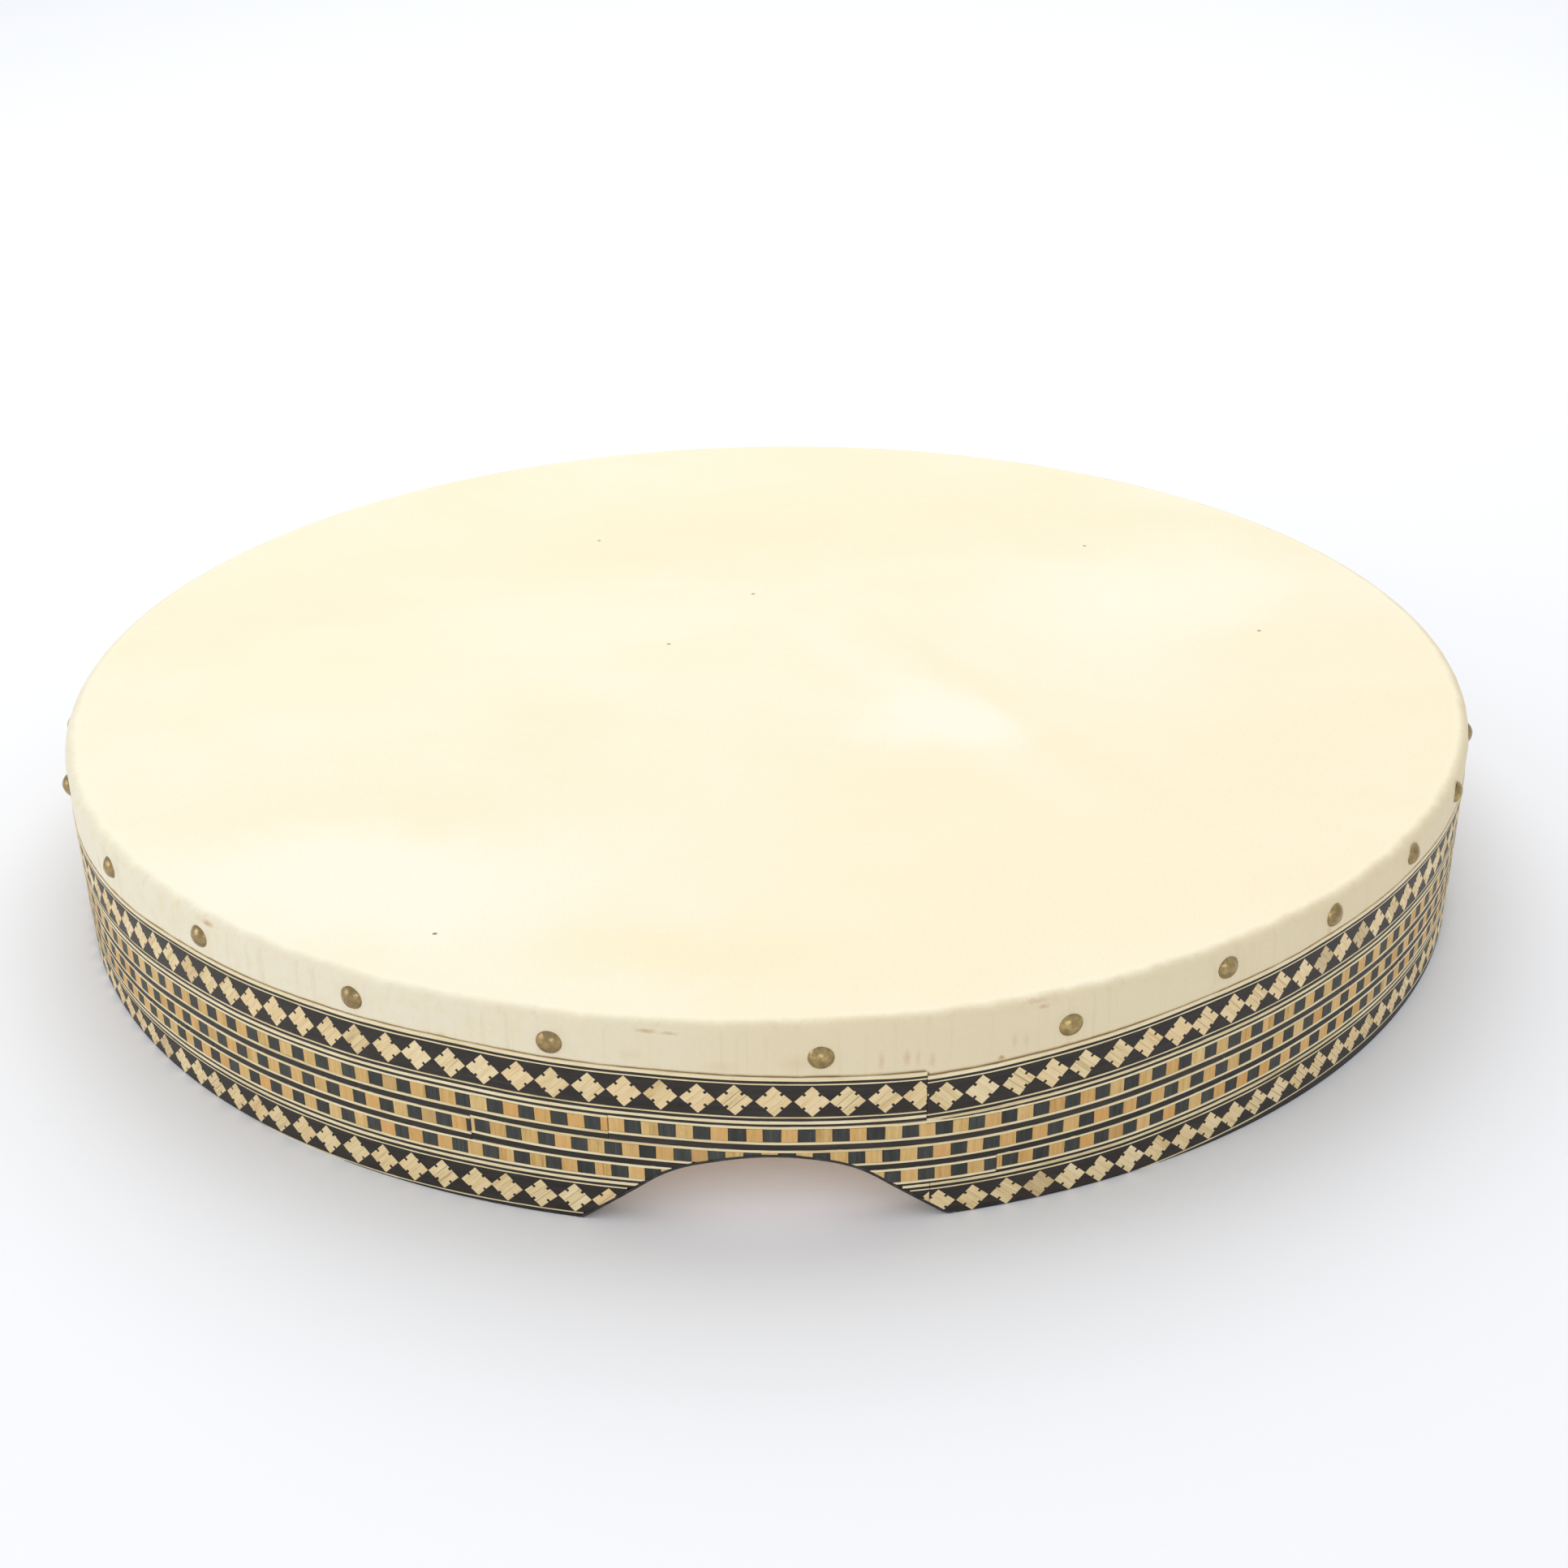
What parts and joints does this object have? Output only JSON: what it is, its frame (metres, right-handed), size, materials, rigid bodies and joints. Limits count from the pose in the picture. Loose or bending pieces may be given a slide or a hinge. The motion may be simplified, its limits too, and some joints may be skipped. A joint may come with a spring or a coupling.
{
  "type": "frame drum",
  "caption": "Large shallow frame drum with a skin head held by brass dome tacks, a hand notch and wood marquetry round the rim.",
  "frame": {"origin": "centre of the drum on its resting plane, at the bottom of the open rim", "axes": "+Z is the drum's axis, up from the open rim to the head; -Y points to the hand notch; +X is to the right seen from the notch"},
  "size_m": [0.5615, 0.5617, 0.0744],
  "materials": {
    "skin": "satin",
    "hoop_wood": "satin",
    "light_wood": "satin",
    "lozenge_wood": "satin",
    "tan_wood": "satin",
    "dark_wood": "satin",
    "black_wood": "satin",
    "brass": "aged",
    "steel": "plain"
  },
  "bodies": {
    "root": {"black_fillet_1": "black_wood", "black_fillet_2": "black_wood", "checker_1_dark_squares": "dark_wood", "checker_1_light_squares": "tan_wood", "checker_1_lower_edge": "light_wood", "checker_1_upper_edge": "light_wood", "checker_2_dark_squares": "dark_wood", "checker_2_light_squares": "tan_wood", "checker_2_lower_edge": "light_wood", "checker_2_upper_edge": "light_wood", "checker_3_dark_squares": "dark_wood", "checker_3_light_squares": "tan_wood", "checker_3_lower_edge": "light_wood", "checker_3_upper_edge": "light_wood", "drumhead_skin": "skin", "lower_border_ground": "black_wood", "lower_border_lozenges": "lozenge_wood", "lower_broad_line": "light_wood", "lower_first_black_line": "black_wood", "lower_inner_black_line": "black_wood", "lower_inner_fine_line": "light_wood", "lower_outer_black_line": "black_wood", "lower_outer_fine_line": "light_wood", "notch_edging": "black_wood", "rim_hoop": "hoop_wood", "tack_domes": "brass", "tack_shanks": "steel", "upper_border_ground": "black_wood", "upper_border_lozenges": "lozenge_wood", "upper_broad_line": "light_wood", "upper_edge_line": "light_wood", "upper_inner_black_line": "black_wood", "upper_inner_fine_line": "light_wood", "upper_last_black_line": "black_wood", "upper_outer_black_line": "black_wood", "upper_outer_fine_line": "light_wood"}
  },
  "joints": []
}
